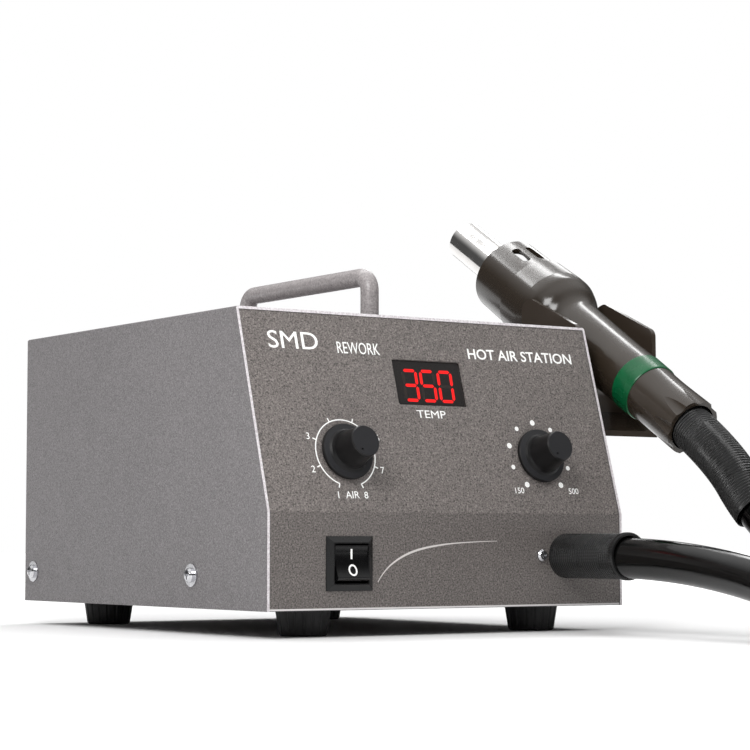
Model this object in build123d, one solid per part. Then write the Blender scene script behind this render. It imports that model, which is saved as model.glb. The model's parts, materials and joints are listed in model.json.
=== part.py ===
from build123d import *
from math import atan2, cos, degrees, pi, radians, sin, tan
import os

# Hot air rework station: a folded steel case with a temperature and an air knob, a mains rocker,
# an internal air pump and a handset that rests in a holder on the right side. Millimetres, +Z up.
# The case frame has x = 0 on the case's middle plane, y = 0 on the front and z = 0 under the case.
# At the end everything is shifted so that the origin is the bottom centre of all but the hose.

# ---- case -----------------------------------------------------------------------------------
CASE_W = 188.0
CASE_D = 228.0
CASE_H = 128.0
FOLD_Z = 41.0  # height of the front's upright part
SETBACK = 26.2  # how far the sloped panel leans back by the top
SHEET = 1.2
LIP = 0.4  # the cover's cut edges stand this far in front of the panel
GAP = 0.15
BEND = 1.2
FOLD_R = 1.5
HALF_W = CASE_W / 2
PANEL_HALF = HALF_W - SHEET - GAP
TILT = degrees(atan2(SETBACK, CASE_H - FOLD_Z))
COVER_SCREWS = [(62.0, 14.2), (218.0, 14.2)]  # (y, z) on both sides
HOLDER_SCREWS = [(53.0, 106.5), (62.0, 124.0)]  # (y, z) on the right side

# ---- feet and handle ------------------------------------------------------------------------
FOOT_H = 11.3
FOOT_TOP_R = 12.0
FOOT_BASE_R = 10.3
FOOT_X = 61.0
FOOT_FRONT_Y = 24.5
FOOT_REAR_Y = 203.0
FOOT_FLUTES = 18
HANDLE_R = 4.2
HANDLE_FRONT_Y = 65.0
HANDLE_REAR_Y = 174.0
HANDLE_Z = 150.0
HANDLE_BEND = 6.8

# ---- controls on the sloped panel, as (across, up the slope) ----------------------------------
AIR_KNOB = (-50.6, 26.3)
TEMP_KNOB = (52.9, 26.6)
KNOB_R = 12.3
KNOB_TOP_R = 6.75
KNOB_H = 16.5
KNOB_REST = -146.0  # pointer angle at the minimum, clockwise from straight up
SHAFT_R = 3.0
RUNNING = 0.05
WINDOW = (0.0, 59.8)
WINDOW_W = 37.0
WINDOW_H = 21.2

# ---- rocker switch, on the upright front -------------------------------------------------------
SWITCH = (-53.75, 19.5)
BEZEL_W = 23.1
BEZEL_H = 22.9
BEZEL_PROUD = 2.2
WELL = 16.7
ROCKER_W = 16.1
ROCKER_TILT = 10.0
PIVOT_W = -1.0  # pivot, behind the front face

# ---- hose outlet -------------------------------------------------------------------------------
GLAND = (62.0, 22.3)
HOSE_R = 8.75
SLEEVE_R = 9.95
SLEEVE_LENGTH = 44.0
GLAND_BORE = 9.25
GLAND_HOLE = 9.75
TAIL_SLEEVE_R = 10.5
TAIL_SLEEVE_LENGTH = 55.0  # free length, beyond the handset's tail
EARTH_SCREW = (48.3, 22.6)

# ---- inside and behind --------------------------------------------------------------------------
INLET = (-45.0, 36.0)  # seen from behind: across, up
PUMP_MOUNTS = [(-78, 98), (-18, 98), (-78, 202), (-18, 202)]
PUMP_PIVOT = (-16.0, 146.0)
BOARD_MOUNTS = [(20, 130), (78, 130), (20, 200), (78, 200)]
CHIPS = [  # x, y, width, depth, height
    (24, 150, 9, 30, 3.6),
    (38, 140, 8, 12, 4.5),
    (40, 176, 12, 10, 12),
    (30, 190, 10, 8, 9),
    (24, 136, 8, 8, 11),
]

# ---- handset: stations are counted from its tail along its axis ----------------------------------
HAND_X = 118.0
TAIL_Y = -22.1
TAIL_Z = 80.25
HAND_TILT = 30.9
PIPE_R = 10.0
PIPE_END = 202.1
CAP_FRONT = 161.3
CAP_REAR = 134.5
DOME = 119.0
NECK = 99.0
HANDLE_WALL = 2.0
RING = (32.6, 44.6)
HANDLE_PROFILE = [(0, 13.5), (26, 13.4), (34, 13.75), (63, 14.35), (96, 15.0)]  # station, radius
FLUTES = 8
FLUTE_REACH = 12.35  # radius left under a flute at the tail's end
FLUTE_LEAN = 4.5
SLOT_ANGLES = (-24, 0, 24, 156, 180, 204)

# ---- holder ------------------------------------------------------------------------------------
HOLDER_IN = 94.2
HOLDER_OUT = 142.3
HOLDER_WALL = 2.3
HOLDER_FLOOR = 26.4  # depth of the channel's floor under the handset's axis

# ---- hose route, end to end: out of the gland, round on the floor and up into the handset ----------
FLOOR_Z = -FOOT_H + HOSE_R
ROUTE = [
    (62, 9, 22.3), (62, -43, 22.3), (61.5, -98, 18.2), (57, -150, 8.5), (35, -195, FLOOR_Z),
    (10, -235, FLOOR_Z), (6, -282, FLOOR_Z), (24.5, -325, FLOOR_Z), (62, -353.5, FLOOR_Z),
    (109, -359.5, FLOOR_Z), (152.5, -342, FLOOR_Z), (183, -306, FLOOR_Z), (194, -260.5, FLOOR_Z),
    (185.5, -214, FLOOR_Z), (164.5, -171.5, -1), (142, -127, 4.5), (125, -92.5, 18.5), (118, -65, 38.5),
    (118, -40.5, 69.25), (118, -9.2, 87.95),
]
HOSE_INTO_TAIL = 16.0
HANDSET_HOSE_FROM = 17  # route point where the hose enters the handset's own sleeve
CORD_NODES = ("hose", "hose_upper", "tail_sleeve", "gland_sleeve")

front_face = Plane(origin=(0, 0, 0), x_dir=(1, 0, 0), z_dir=(0, -1, 0)).location
slope_face = Plane(
    origin=(0, 0, FOLD_Z), x_dir=(1, 0, 0), z_dir=(0, -cos(radians(TILT)), sin(radians(TILT)))
).location
rear_face = Plane(origin=(0, CASE_D, 0), x_dir=(-1, 0, 0), z_dir=(0, 1, 0)).location
right_side = Plane(origin=(HALF_W, 0, 0), x_dir=(0, 1, 0), z_dir=(1, 0, 0)).location
left_side = Plane(origin=(-HALF_W, 0, 0), x_dir=(0, -1, 0), z_dir=(-1, 0, 0)).location
handset_line = Plane(
    origin=(HAND_X, TAIL_Y, TAIL_Z),
    x_dir=(-1, 0, 0),
    z_dir=(0, cos(radians(HAND_TILT)), sin(radians(HAND_TILT))),
).location
FROM_BASE = (Align.CENTER, Align.CENTER, Align.MIN)

nodes = {}


# ---- small helpers -----------------------------------------------------------------------------
def turned(*points):
    """A solid turned about local Z, from its (radius, height) outline."""
    return revolve(Plane.XZ * make_face(Polyline(*points, close=True)), Axis.Z)


def rod(radius, low, high):
    return Pos(0, 0, low) * Cylinder(radius, high - low, align=FROM_BASE)


def ring(outer, inner, low, high):
    return turned((inner, low), (outer, low), (outer, high), (inner, high))


def block(low, high):
    sizes = [b - a for a, b in zip(low, high)]
    middle = [(a + b) / 2 for a, b in zip(low, high)]
    return Pos(*middle) * Box(*sizes)


def prism(outline, low_x, high_x):
    """A (y, z) outline drawn out along X."""
    face = Plane.YZ * make_face(Polyline(*outline, close=True))
    return Pos(low_x, 0, 0) * extrude(face, high_x - low_x)


def around(count, radius, solid, start=0.0):
    """count copies of a solid on a circle about local Z."""
    turns = [start + 360 * k / count for k in range(count)]
    return [Rot(0, 0, t) * Pos(radius, 0, 0) * solid for t in turns]


def pan_screw(head_r, head_h, shank_r, length):
    """A pan head screw with a cross recess: head above local z = 0, shank below."""
    head = turned((0, 0), (head_r, 0), (head_r, head_h * 0.45), (head_r * 0.72, head_h * 0.9), (0, head_h))
    cross = Box(head_r * 1.15, head_r * 0.26, head_h) + Box(head_r * 0.26, head_r * 1.15, head_h)
    return head - Pos(0, 0, head_h) * cross + rod(shank_r, -length, 0)


def hex_nut(across_flats, bore, low, high):
    body = extrude(RegularPolygon(across_flats / 2, 6, major_radius=False), high - low)
    return Pos(0, 0, low) * body - rod(bore, low - 1, high + 1)


def group(solids):
    return Compound([s for item in solids for s in item.solids()])


def along(points, radius, bends):
    """A round bar whose middle follows straight runs joined by arcs."""
    path = FilletPolyline(*points, radius=bends)
    section = Plane(origin=path @ 0, z_dir=path % 0) * Circle(radius)
    return sweep(section, path=path)


def slope_y(z):
    return SETBACK * (z - FOLD_Z) / (CASE_H - FOLD_Z)


# ---- case --------------------------------------------------------------------------------------
def top_cover():
    outline = [(-LIP, 0), (-LIP, FOLD_Z), (SETBACK - LIP, CASE_H), (CASE_D, CASE_H), (CASE_D, 0)]
    shell = prism(outline, -HALF_W, HALF_W)
    shell = fillet(shell.edges().filter_by(Axis.Y).group_by(Axis.Z)[-1], BEND)
    shell -= block((-HALF_W + SHEET, -9, -1), (HALF_W - SHEET, CASE_D + 9, CASE_H - SHEET))
    for y, z in COVER_SCREWS:
        shell -= Pos(0, y, z) * Rot(0, 90, 0) * Cylinder(1.7, CASE_W + 4)
    for y in (HANDLE_FRONT_Y, HANDLE_REAR_Y):
        shell -= Pos(0, y, CASE_H) * Cylinder(2.2, 6)
    for y, z in HOLDER_SCREWS:
        shell -= right_side * Pos(y, z, 0) * Cylinder(1.7, 6)
    return shell


def front_panel():
    top = CASE_H - SHEET - 0.1
    flange = 14.0
    outline = [
        (0, 0.3),
        (0, FOLD_Z),
        (slope_y(top), top),
        (slope_y(top) + flange, top),
        (slope_y(top) + flange, top - SHEET),
        (slope_y(top - SHEET) + SHEET / cos(radians(TILT)), top - SHEET),
        (SHEET, FOLD_Z - SHEET * tan(radians(TILT / 2))),
        (SHEET, 0.3),
    ]
    panel = prism(outline, -PANEL_HALF, PANEL_HALF)
    fold = panel.edges().filter_by(Axis.X).sort_by_distance((0, 0, FOLD_Z))[0]
    panel = fillet(fold, FOLD_R)
    window = Box(WINDOW_W, WINDOW_H, 8)
    window = fillet(window.edges().filter_by(Axis.Z), 1.0)
    panel -= slope_face * Pos(WINDOW[0], WINDOW[1], 0) * window
    for u, v in (AIR_KNOB, TEMP_KNOB):
        panel -= slope_face * Pos(u, v, 0) * Cylinder(3.6, 8)
    panel -= front_face * Pos(SWITCH[0], SWITCH[1], 0) * Box(20.5, 20.3, 8)
    panel -= front_face * Pos(GLAND[0], GLAND[1], 0) * Cylinder(GLAND_HOLE, 8)
    panel -= front_face * Pos(EARTH_SCREW[0], EARTH_SCREW[1], 0) * Cylinder(1.6, 8)
    return panel


def rear_panel():
    top = CASE_H - SHEET - 0.1
    sheet = block((-PANEL_HALF, CASE_D - SHEET, 0.3), (PANEL_HALF, CASE_D, top))
    sheet += block((-PANEL_HALF, CASE_D - 14, top - SHEET), (PANEL_HALF, CASE_D, top))
    slot = extrude(SlotOverall(30, 3), 10, both=True)
    for row in range(9):
        for side in (-1, 1):
            sheet -= rear_face * Pos(side * 20, 62 + 6 * row, 0) * slot
    sheet -= rear_face * Pos(INLET[0], INLET[1], 0) * Box(27.6, 20.4, 8)
    for side in (-1, 1):
        sheet -= rear_face * Pos(INLET[0] + side * 20, INLET[1], 0) * Cylinder(1.6, 8)
    return sheet


def base_tray():
    tray_half = HALF_W - SHEET - 0.1
    low_y = SHEET + 0.1
    high_y = CASE_D - SHEET - 0.1
    tray = block((-tray_half, low_y, 0), (tray_half, high_y, SHEET))
    for side in (-1, 1):
        flange = sorted((side * tray_half, side * (tray_half - SHEET)))
        tray += block((flange[0], low_y + 8, 0), (flange[1], high_y - 6, 24))
    tray += block((-tray_half + 8, low_y, 0), (tray_half - 8, low_y + SHEET, 7))
    tray += block((-tray_half + 8, high_y - SHEET, 0), (tray_half - 8, high_y, 7))
    for y, z in COVER_SCREWS:
        tray -= Pos(0, y, z) * Rot(0, 90, 0) * Cylinder(1.52, CASE_W)
    for x, y in foot_places():
        tray -= Pos(x, y, 0) * Cylinder(2.1, 6)
    slot = extrude(SlotOverall(28, 3), 6, both=True)
    for row in range(8):
        tray -= Pos(-35, 100 + 9 * row, 0) * slot
    for x, y in PUMP_MOUNTS + BOARD_MOUNTS:
        tray -= Pos(x, y, 0) * Cylinder(1.6, 6)
    return tray


def foot_places():
    return [(x, y) for y in (FOOT_FRONT_Y, FOOT_REAR_Y) for x in (-FOOT_X, FOOT_X)]


def rubber_foot():
    base = [(0, -FOOT_H), (FOOT_BASE_R - 0.8, -FOOT_H), (FOOT_BASE_R, -FOOT_H + 0.8)]
    body = turned(*base, (FOOT_TOP_R, 0), (0, 0))
    lean = degrees(atan2(FOOT_TOP_R - FOOT_BASE_R, FOOT_H))
    groove = Pos(0, 0, -4.5) * Rot(0, lean, 0) * Cylinder(1.0, 12)
    for cut in around(FOOT_FLUTES, (FOOT_TOP_R + FOOT_BASE_R) / 2 + 0.75, groove):
        body -= cut
    body -= rod(2.1, -FOOT_H - 1, 1)
    return body - rod(5.0, -FOOT_H - 1, -FOOT_H + 5.5)


def foot_screws():
    screw = Pos(0, 0, -FOOT_H + 5.5) * Rot(180, 0, 0) * pan_screw(3.8, 2.6, 1.95, 10.6)
    nut = hex_nut(7.0, 2.0, SHEET, SHEET + 3)
    screws = [Pos(x, y, 0) * screw for x, y in foot_places()]
    nuts = [Pos(x, y, 0) * nut for x, y in foot_places()]
    return group(screws + nuts)


def carry_handle():
    points = [
        (0, HANDLE_FRONT_Y, CASE_H),
        (0, HANDLE_FRONT_Y, HANDLE_Z),
        (0, HANDLE_REAR_Y, HANDLE_Z),
        (0, HANDLE_REAR_Y, CASE_H),
    ]
    bar = along(points, HANDLE_R, HANDLE_BEND)
    for y in (HANDLE_FRONT_Y, HANDLE_REAR_Y):
        bar -= Pos(0, y, 0) * rod(2.0, CASE_H - 1, CASE_H + 12)
    return bar


def handle_screws():
    screw = Rot(180, 0, 0) * pan_screw(3.6, 2.4, 1.95, 11)
    washer = ring(5.0, 2.1, -1.0, 0)
    places = [Pos(0, y, CASE_H - SHEET) for y in (HANDLE_FRONT_Y, HANDLE_REAR_Y)]
    return group([p * Pos(0, 0, -1.0) * screw for p in places] + [p * washer for p in places])


def cover_screws():
    screw = pan_screw(3.2, 2.1, 1.48, 6)
    washer = ring(5.0, 1.7, 0, 0.8)
    seats = [left_side * Pos(-y, z, 0) for y, z in COVER_SCREWS]
    seats += [right_side * Pos(y, z, 0) for y, z in COVER_SCREWS]
    return group([s * Pos(0, 0, 0.8) * screw for s in seats] + [s * washer for s in seats])


# ---- display and knobs --------------------------------------------------------------------------
def display():
    place = slope_face * Pos(WINDOW[0], WINDOW[1], 0)
    window = place * Pos(0, 0, -SHEET - 1.05) * Box(44, 27, 2)
    module = place * Pos(0, 0, -SHEET - 6.1) * Box(37.6, 19, 8)
    board = place * Pos(0, 0, -SHEET - 11.0) * Box(60, 26, 1.6)
    return window, module, board


def knob():
    """Skirted knob on local Z, hollow underneath for the nut, with a small pointer dimple."""
    outline = [(0, 0.8), (KNOB_R - 0.2, 0.8), (KNOB_R, 1.0), (KNOB_R, 2.4), (KNOB_R - 0.3, 2.8), (9.8, 3.2)]
    outline += [(8.9, 3.8), (8.3, 5.0), (8.05, 6.5), (KNOB_TOP_R + 0.1, KNOB_H - 0.6)]
    outline += [(KNOB_TOP_R - 0.35, KNOB_H), (0, KNOB_H)]
    body = turned(*outline)
    body -= rod(7.6, 0, 4.9) + rod(SHAFT_R + 0.03, 0, 14.2)
    turn = radians(KNOB_REST)
    return body - Pos(4.6 * sin(turn), 4.6 * cos(turn), KNOB_H) * Cylinder(0.5, 1.2)


def potentiometer():
    """Body behind the sheet and threaded bush through it."""
    body = rod(8.2, -11.5, -SHEET - 0.05) + rod(3.5, -SHEET - 0.1, 4.4)
    body += block((-6, -13.5, -9), (6, -7, -7.4))
    return body - rod(SHAFT_R + RUNNING, -8, 5)


def control(at):
    place = slope_face * Pos(at[0], at[1], 0)
    shaft = rod(SHAFT_R, -7.8, 14.0)
    washer = ring(5.8, 3.55, 0, 0.6)
    nut = hex_nut(10.0, 3.52, 0.6, 2.8)
    return [place * s for s in (knob(), potentiometer(), shaft, washer, nut)]


# ---- rocker switch ------------------------------------------------------------------------------
def switch():
    """Snap-in housing with its sloping bezel, the rocker on two stub pins, and the blades."""
    place = front_face * Pos(SWITCH[0], SWITCH[1], 0)
    rim = extrude(Rectangle(BEZEL_W, BEZEL_H), 0.5)
    slopes = [Pos(0, 0, 0.5) * Rectangle(BEZEL_W, BEZEL_H), Pos(0, 0, BEZEL_PROUD) * Rectangle(17.7, 17.7)]
    rim += loft(slopes)
    housing = rim + block((-10.1, -10, -21), (10.1, 10, 0))
    housing -= block((-WELL / 2, -WELL / 2, -12), (WELL / 2, WELL / 2, 5))
    housing -= Pos(0, 0, PIVOT_W) * Rot(0, 90, 0) * Cylinder(1.5 + RUNNING, 18.6)
    reach = 8.15
    ends = (6.9, 3.4 - PIVOT_W)
    slant = atan2(ends[1], ends[0]) / 2
    side = make_face(
        Curve()
        + ThreePointArc((-ends[0], ends[1]), (0, 3.2), ends)
        + ThreePointArc(ends, (reach * cos(slant), reach * sin(slant)), (reach, 0))
        + Polyline((reach, 0), (7, -3), (3, -6), (-3, -6), (-7, -3), (-reach, 0))
        + ThreePointArc((-reach, 0), (-reach * cos(slant), reach * sin(slant)), (-ends[0], ends[1]))
    )
    rocker = extrude(Plane.YZ * side, ROCKER_W / 2, both=True)
    rocker = fillet(rocker.edges().filter_by(Axis.X).group_by(Axis.Z)[-1], 0.5)
    rocker += Rot(0, 90, 0) * Cylinder(1.5, 18.2)
    rocker = Pos(0, 0, PIVOT_W) * Rot(-ROCKER_TILT, 0, 0) * rocker
    blades = [block((x - 0.4, y - 3.1, -30), (x + 0.4, y + 3.1, -21)) for x in (-5, 5) for y in (-5, 5)]
    return place * housing, place * rocker, group([place * b for b in blades])


# ---- hose outlet and earth screw ------------------------------------------------------------------
def hose_outlet():
    place = front_face * Pos(GLAND[0], GLAND[1], 0)
    outer = GLAND_HOLE - 0.05
    bush = ring(outer, GLAND_BORE, -9.05, 0) + ring(10.45, outer - 0.1, -5.5, -SHEET - 0.02)
    bush += turned((3.6, -26), (5, -26), (5, -14), (outer, -13), (outer, -9.02), (3.6, -9.02))
    sleeve = ring(SLEEVE_R, GLAND_BORE, 0.02, SLEEVE_LENGTH)
    rim = [(SLEEVE_R, 0), (SLEEVE_R + 0.45, 0.3), (SLEEVE_R + 0.45, 2.0), (SLEEVE_R, 2.4)]
    sleeve += Pos(0, 0, SLEEVE_LENGTH - 2.4) * turned((GLAND_BORE, 0), *rim, (GLAND_BORE, 2.4))
    return place * bush, place * sleeve


def earth_screw():
    place = front_face * Pos(EARTH_SCREW[0], EARTH_SCREW[1], 0)
    nut = hex_nut(5.5, 1.52, -SHEET - 2.4, -SHEET)
    return group([place * pan_screw(2.65, 1.9, 1.48, 6), place * nut])


# ---- inside the case ------------------------------------------------------------------------------
def pump():
    """Vibrating-armature air pump on four rubber mounts: frame, coil on its core, arm and bellows."""
    frame = block((-84, 92, 9), (-12, 208, 12))
    frame += block((-84, 92, 12), (-81, 208, 60))
    frame += block((-81, 150, 12), (-12, 208, 14))
    for x, y in PUMP_MOUNTS:
        frame -= Pos(x, y, 10) * Cylinder(2.1, 8)
    mount = turned((0, SHEET), (5.5, SHEET), (5.5, 9), (2.05, 9), (2.05, 12), (0, 12))
    mounts = [Pos(x, y, 0) * mount for x, y in PUMP_MOUNTS]
    frame += block((-78, 166, 14), (-66, 176, 23.95)) + block((-40, 166, 14), (-30, 176, 23.95))
    core = block((-78, 166, 24), (-30, 176, 64)) - block((-66, 160, 34), (-20, 180, 54))
    coil = block((-62, 158, 16), (-42, 184, 42)) - block((-70, 165.9, 23.9), (-30, 176.1, 34.1))
    chamber = block((-80, 96, 16), (-20, 132, 52))
    chamber = fillet(chamber.edges().filter_by(Axis.Z), 5)
    chamber += Pos(-26, 96, 34) * Rot(90, 0, 0) * rod(4.9, -2, 12)
    chamber -= Pos(-26, 96, 34) * Rot(90, 0, 0) * rod(3.4, -8, 13)
    bellows = Pos(-50, 132, 34) * Rot(-90, 0, 0) * turned(
        (0, 0), (15, 0), (15, 3), (11, 4.5), (13, 6), (10, 8), (4, 8), (4, 10), (0, 10)
    )
    return frame, group(mounts), core, coil, chamber, bellows


def pump_arm():
    """The arm stands across the bellows and swings about an upright pin."""
    arm = block((-70, 143, 28), (-12, 147, 40)) + block((-66, 147, 27), (-46, 155, 41))
    arm += Pos(PUMP_PIVOT[0], PUMP_PIVOT[1], 0) * rod(5, 26, 42)
    arm -= Pos(PUMP_PIVOT[0], PUMP_PIVOT[1], 0) * rod(2 + RUNNING, 20, 50)
    post = block((-24, 140, 12), (-8, 152, 25.6)) + Pos(PUMP_PIVOT[0], PUMP_PIVOT[1], 0) * rod(2, 25, 46)
    return arm, post


def air_tube():
    points = [(-26, 94, 34), (-26, 62, 34), (14, 46, 27), (62, 50, 22.3), (62, 17, 22.3)]
    bends = [16, 30, 14]
    return along(points, 6.6, bends) - along(points, 5.1, bends)


def electronics():
    board = block((14, 124, 12), (84, 206, 13.6))
    standoffs = []
    for x, y in BOARD_MOUNTS:
        board -= Pos(x, y, 12) * Cylinder(1.6, 8)
        standoffs.append(Pos(x, y, 0) * ring(3.0, 1.3, SHEET, 12))
    screws = [Pos(x, y, 13.6) * pan_screw(2.6, 1.8, 1.25, 6) for x, y in BOARD_MOUNTS]
    sink = block((60, 140, 13.6), (63, 190, 46))
    for k in range(6):
        sink += block((63, 142 + 8.6 * k, 13.6), (76, 143.6 + 8.6 * k, 46))
    triac = block((55.2, 160, 22), (59.9, 170.5, 38)) + block((57, 161, 13.6), (57.8, 169.5, 22))
    chips = [block((x, y, 13.6), (x + w, y + d, 13.6 + h)) for x, y, w, d, h in CHIPS]
    return board, group(standoffs + screws), sink, group(chips + [triac])


def transformer():
    low, high = 72, 114
    core = block((34, low, SHEET), (86, high, 41.5))
    coil = block((43.1, low - 8, 10.1), (76.9, high + 8, 32.9))
    coil -= block((50.9, low - 0.1, 0), (69.1, high + 0.1, 50))
    for x in (43, 69):
        core -= block((x, low - 9, 10), (x + 8, high + 9, 33))
    return core, coil


def mains_inlet():
    """Flanged three-pin inlet with its pins, fuse drawer and screws, on the rear panel."""
    place = rear_face * Pos(INLET[0], INLET[1], 0)
    flange = fillet((Box(49, 23, 3)).edges().filter_by(Axis.Z), 4)
    body = Pos(0, 0, 1.5) * flange + block((-13.6, -10, -24), (13.6, 10, 0))
    socket = Box(24.2, 16.6, 19)
    socket = chamfer(socket.edges().filter_by(Axis.Z).group_by(Axis.Y)[-1], 3.5)
    body -= Pos(0, 0.6, 3.2 - 9.5) * socket
    for side in (-1, 1):
        body -= Pos(side * 20, 0, 0) * Cylinder(1.6, 12)
    pins = [Pos(x, y, -12.6) * Box(2, 4, 16) for x, y in ((-7, -1.6), (7, -1.6), (0, 2.6))]
    for pin in pins:
        body -= pin
    screws = [Pos(side * 20, 0, 3) * pan_screw(2.8, 1.8, 1.5, 8) for side in (-1, 1)]
    return place * body, group([place * p for p in pins]), group([place * s for s in screws])


# ---- holder ----------------------------------------------------------------------------------------
def along_axis(station, lift):
    """(y, z) of a point at a station of the handset, lift mm above its axis."""
    c = cos(radians(HAND_TILT))
    s = sin(radians(HAND_TILT))
    return TAIL_Y + station * c - lift * s, TAIL_Z + station * s + lift * c


def handset_holder():
    floor = HOLDER_FLOOR + HOLDER_WALL
    lean = radians(HAND_TILT)
    front_low = (30.5, TAIL_Z + (30.5 - TAIL_Y) * tan(lean) - floor / cos(lean))
    rear_low = (73.5, front_low[1] + 43.0 * tan(lean))
    outline = [front_low, (31.0, 129.4), (66.8, 145.4), (73.5, 143.5), rear_low]
    body = prism(outline, HOLDER_IN, HOLDER_OUT)
    corners = body.edges().filter_by(Axis.X).group_by(Axis.Z)
    body = fillet(corners[-1] + corners[-2] + corners[-3], 4.5)
    middle = (HOLDER_IN + HOLDER_OUT) / 2
    width = HOLDER_OUT - HOLDER_IN - 2 * HOLDER_WALL
    channel = Box(width, 120, 300)
    channel = fillet(channel.edges().filter_by(Axis.Z).group_by(Axis.Y)[0], 7)
    line = handset_line * Pos(HAND_X - middle, 60 - HOLDER_FLOOR, 60)
    body -= line * channel
    for station in (66.0, 90.0):
        rib = Pos(HAND_X - middle, -HOLDER_FLOOR / 2 - 3, station) * Box(width + 1, HOLDER_FLOOR - 4, 3)
        body += handset_line * (rib - rod(handle_radius(station) + 0.4, station - 5, station + 5))
    for y, z in HOLDER_SCREWS:
        body -= right_side * Pos(y, z, 0) * Cylinder(1.7, 12)
    return body


def holder_screws():
    inner_face = HOLDER_IN + HOLDER_WALL - HALF_W
    screws = [right_side * Pos(y, z, inner_face) * pan_screw(3.0, 2.0, 1.48, 8) for y, z in HOLDER_SCREWS]
    nuts = [right_side * Pos(y, z, 0) * hex_nut(5.5, 1.52, -SHEET - 2.4, -SHEET) for y, z in HOLDER_SCREWS]
    return group(screws + nuts)


# ---- handset ---------------------------------------------------------------------------------------
def handle_radius(station):
    """Outer radius of the grip, straight between its stations."""
    for (s0, r0), (s1, r1) in zip(HANDLE_PROFILE, HANDLE_PROFILE[1:]):
        if station <= s1:
            return r0 + (r1 - r0) * (station - s0) / (s1 - s0)
    return HANDLE_PROFILE[-1][1]


def handle_shell():
    """Barrel, dome, grip and fluted tail in one hollow moulding."""
    grip_points = [(r, s) for s, r in HANDLE_PROFILE]
    neck = [grip_points[-1], (15.35, NECK + 1.5), (16.7, NECK + 4.6), (18.9, NECK + 7.9), (20.6, NECK + 12.2)]
    grip = Spline(*grip_points, tangents=[(0, 1), (0.02, 1)])
    dome = Spline(*neck, (21.4, DOME), tangents=[(0.02, 1), (0, 1)])
    inside = [(18.7, CAP_REAR), (18.7, 127.5), (17.2, 127.5), (17.2, 108), (13.0, 101), (13.0, 96)]
    inside += [(12.2, 60), (11.6, 30), (11.4, 0)]
    rest = Polyline((21.4, DOME), (20.7, CAP_REAR), *inside, grip_points[0])
    body = revolve(Plane.XZ * make_face(Curve() + [grip, dome, rest]), Axis.Z)
    body -= ring(20, 13.3, RING[0], RING[1])
    flute = Pos(FLUTE_REACH + 6.0, 0, 0) * Rot(0, FLUTE_LEAN, 0) * Cylinder(6.0, 60)
    for cut in around(FLUTES, 0, flute, start=106.4 + 22.5):
        body -= cut
    return handset_line * body


def grip_ring():
    low = RING[0] + 0.05
    high = RING[1] - 0.05
    band = [(13.35, low), (13.95, low), (14.2, low + 0.5), (14.45, high - 0.5), (14.2, high), (13.35, high)]
    return handset_line * turned(*band)


def vent_cap():
    outer = [(19.5, CAP_REAR + 0.1), (19.0, CAP_FRONT - 0.8), (18.3, CAP_FRONT)]
    inner = [(12.6, CAP_FRONT), (12.6, CAP_FRONT - 2), (17.0, CAP_FRONT - 2), (17.2, CAP_REAR + 0.1)]
    cap = turned(*outer, *inner)
    slot = extrude(SlotOverall(13.8, 4.3), 12)
    for angle in SLOT_ANGLES:
        cap -= Rot(0, 0, angle) * Pos(0, 14, 146.4) * Rot(-90, 0, 0) * Rot(0, 0, 90) * slot
    for screw_hole in around(3, 15.4, Cylinder(1.35, 400), start=30):
        cap -= screw_hole
    return handset_line * cap


def nozzle_pipe():
    outside = [(9.8, 124.1), (9.8, 162), (PIPE_R, 162), (PIPE_R, PIPE_END)]
    pipe = turned((9.2, 124.1), *outside, (9.2, PIPE_END)) + ring(18.5, 9.5, 127.6, 129.6)
    for hole in around(3, 15.4, Cylinder(1.22, 400), start=30):
        pipe -= hole
    return handset_line * pipe


def heater():
    """Ceramic former, wound element, mica liner, thermocouple and the ceramic socket behind them."""
    former = rod(7.6, 126, 185)
    for cut in around(6, 4.4, Cylinder(1.5, 400)):
        former -= cut
    former -= rod(1.0, 120, 195)
    grooves = [(8.7 if k % 2 else 8.2, 128 + 1.5 * k) for k in range(37)]
    winding = turned((7.65, 128), *grooves, (7.65, 128 + 1.5 * 36))
    liner = ring(9.15, 8.85, 126, 187)
    thermocouple = rod(0.9, 112, 189)
    socket = ring(9.1, 1.0, 118, 124) + ring(16.5, 9.1, 119, 122)
    for hole in around(6, 4.4, Cylinder(1.5, 400)):
        socket -= hole
    return [handset_line * s for s in (former, winding, liner, thermocouple, socket)]


def air_duct():
    outside = [(4.5, 17), (6, 17), (6, 98), (9.0, 108), (9.0, 117.9)]
    return handset_line * turned(*outside, (8.0, 117.9), (8.0, 108.5), (4.5, 98))


def cap_screws():
    screw = Pos(0, 0, CAP_FRONT) * pan_screw(2.3, 1.4, 1.2, CAP_FRONT - 127.6)
    return group([handset_line * s for s in around(3, 15.4, screw, start=30)])


# ---- hose --------------------------------------------------------------------------------------------
def bend_radii(points):
    """The arc at each inner point: 0.45 of the shorter run over the tangent of half the turn."""
    runs = [Vector(*b) - Vector(*a) for a, b in zip(points, points[1:])]
    radii = []
    for before, after in zip(runs, runs[1:]):
        turn = radians(before.get_angle(after))
        radii.append(0.45 * min(before.length, after.length) / tan(turn / 2))
    return radii


def between(a, b, share):
    return tuple(p + (q - p) * share for p, q in zip(a, b))


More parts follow.
